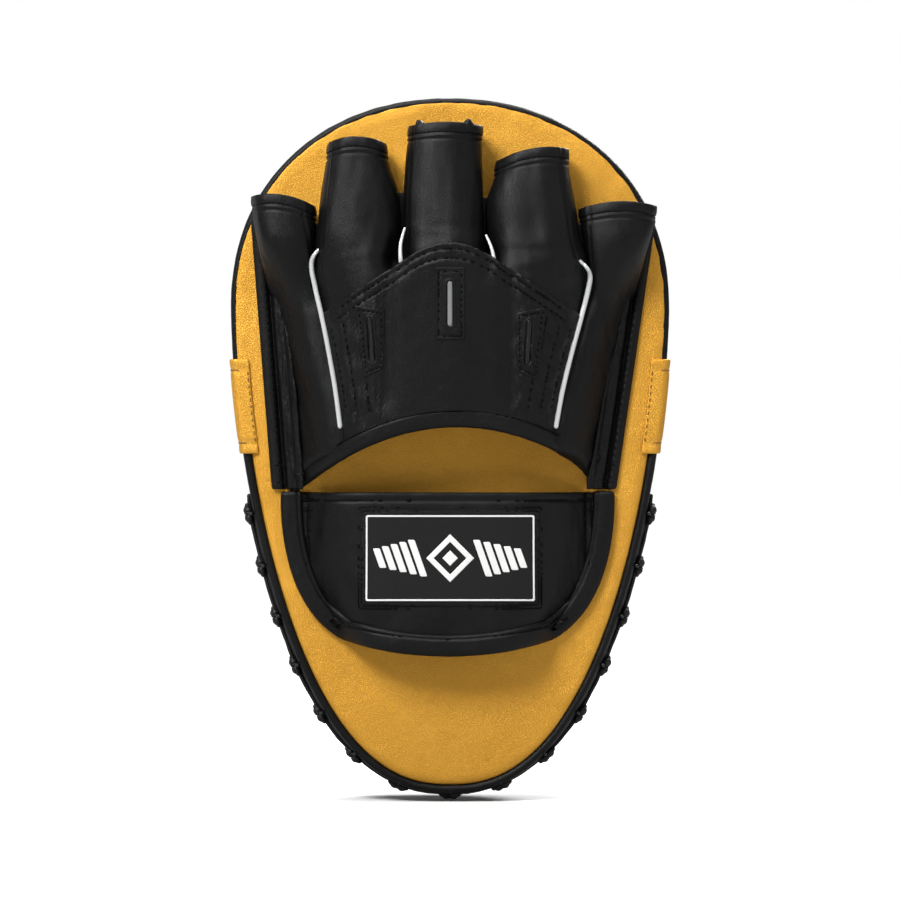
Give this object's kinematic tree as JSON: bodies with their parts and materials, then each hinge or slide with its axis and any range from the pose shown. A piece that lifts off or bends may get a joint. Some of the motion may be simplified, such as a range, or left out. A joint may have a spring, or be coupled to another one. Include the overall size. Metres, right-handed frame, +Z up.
{
  "type": "focus mitt",
  "caption": "Hand-held padded boxing target: egg-shaped leather pad with side wall, lace seam, finger-stall glove and wrist cuff on its back.",
  "frame": {"origin": "below the middle of the whole mitt's box, at the height of the lowest lace hitch", "axes": "+Z up along the pad from its round tip to the finger end, -Y out of the strike face, +Y out of the hand side, +X towards the little-finger side"},
  "size_m": [0.1882, 0.0878, 0.2997],
  "materials": {
    "gold_leather": "satin",
    "black_leather": "satin",
    "printed_leather": "satin",
    "lining_cloth": "matte",
    "white_piping": "satin",
    "white_vinyl": "matte",
    "red_vinyl": "satin",
    "woven_label": "matte",
    "soft_foam": "matte",
    "dense_foam": "matte",
    "fibre_board": "matte"
  },
  "bodies": {
    "root": {"strike_cover": "gold_leather", "back_cover": "gold_leather", "side_tab_little": "gold_leather", "side_tab_thumb": "gold_leather", "lower_side_wall": "black_leather", "back_welt": "black_leather", "front_welt": "black_leather", "seam_lace": "black_leather", "knuckle_panel": "black_leather", "side_panel_little": "black_leather", "side_panel_thumb": "black_leather", "hand_hem": "black_leather", "vent_patch_little": "black_leather", "vent_patch_middle": "black_leather", "vent_patch_thumb": "black_leather", "lace_hitch_01": "black_leather", "lace_hitch_02": "black_leather", "lace_hitch_03": "black_leather", "lace_hitch_04": "black_leather", "lace_hitch_05": "black_leather", "lace_hitch_06": "black_leather", "lace_hitch_07": "black_leather", "lace_hitch_08": "black_leather", "lace_hitch_09": "black_leather", "lace_hitch_10": "black_leather", "lace_hitch_11": "black_leather", "lace_hitch_12": "black_leather", "lace_hitch_13": "black_leather", "lace_hitch_14": "black_leather", "lace_hitch_15": "black_leather", "upper_side_wall": "printed_leather", "hand_lining": "lining_cloth", "long_piping_little": "white_piping", "long_piping_thumb": "white_piping", "short_piping_ring": "white_piping", "short_piping_index": "white_piping", "oval_field": "white_vinyl", "target_dot": "white_vinyl", "oval_ring": "red_vinyl", "maker_label": "woven_label", "backing_foam": "soft_foam", "shock_foam": "soft_foam", "impact_foam": "dense_foam", "stiffener_board": "fibre_board"},
    "little_finger": {"little_stall": "black_leather", "little_tip_band": "black_leather"},
    "ring_finger": {"ring_stall": "black_leather", "ring_tip_band": "black_leather"},
    "middle_finger": {"middle_stall": "black_leather", "middle_tip_band": "black_leather"},
    "index_finger": {"index_stall": "black_leather", "index_tip_band": "black_leather"},
    "thumb_finger": {"thumb_stall": "black_leather", "thumb_tip_band": "black_leather"},
    "cuff": {"wrist_cuff": "black_leather", "cuff_binding": "black_leather", "cuff_label": "woven_label"}
  },
  "joints": [
    {"name": "little_flex", "type": "hinge", "parent": "root", "child": "little_finger", "pos_m": [0.0705, 0.02925, 0.2153], "axis": [-1, 0, 0], "range_deg": [0, 30], "stiffness_Nm_per_rad": 0.05},
    {"name": "ring_flex", "type": "hinge", "parent": "root", "child": "ring_finger", "pos_m": [0.0368, 0.03575, 0.2281], "axis": [-1, 0, 0], "range_deg": [0, 30], "stiffness_Nm_per_rad": 0.05},
    {"name": "middle_flex", "type": "hinge", "parent": "root", "child": "middle_finger", "pos_m": [0, 0.03775, 0.2359], "axis": [-1, 0, 0], "range_deg": [0, 30], "stiffness_Nm_per_rad": 0.05},
    {"name": "index_flex", "type": "hinge", "parent": "root", "child": "index_finger", "pos_m": [-0.0368, 0.03575, 0.2281], "axis": [-1, 0, 0], "range_deg": [0, 30], "stiffness_Nm_per_rad": 0.05},
    {"name": "thumb_flex", "type": "hinge", "parent": "root", "child": "thumb_finger", "pos_m": [-0.0715, 0.02925, 0.2153], "axis": [-1, 0, 0], "range_deg": [0, 30], "stiffness_Nm_per_rad": 0.05},
    {"name": "cuff_lift", "type": "hinge", "parent": "root", "child": "cuff", "pos_m": [0.001, 0.00775, 0.131], "axis": [1, 0, 0], "range_deg": [0, 10], "stiffness_Nm_per_rad": 0.2}
  ]
}
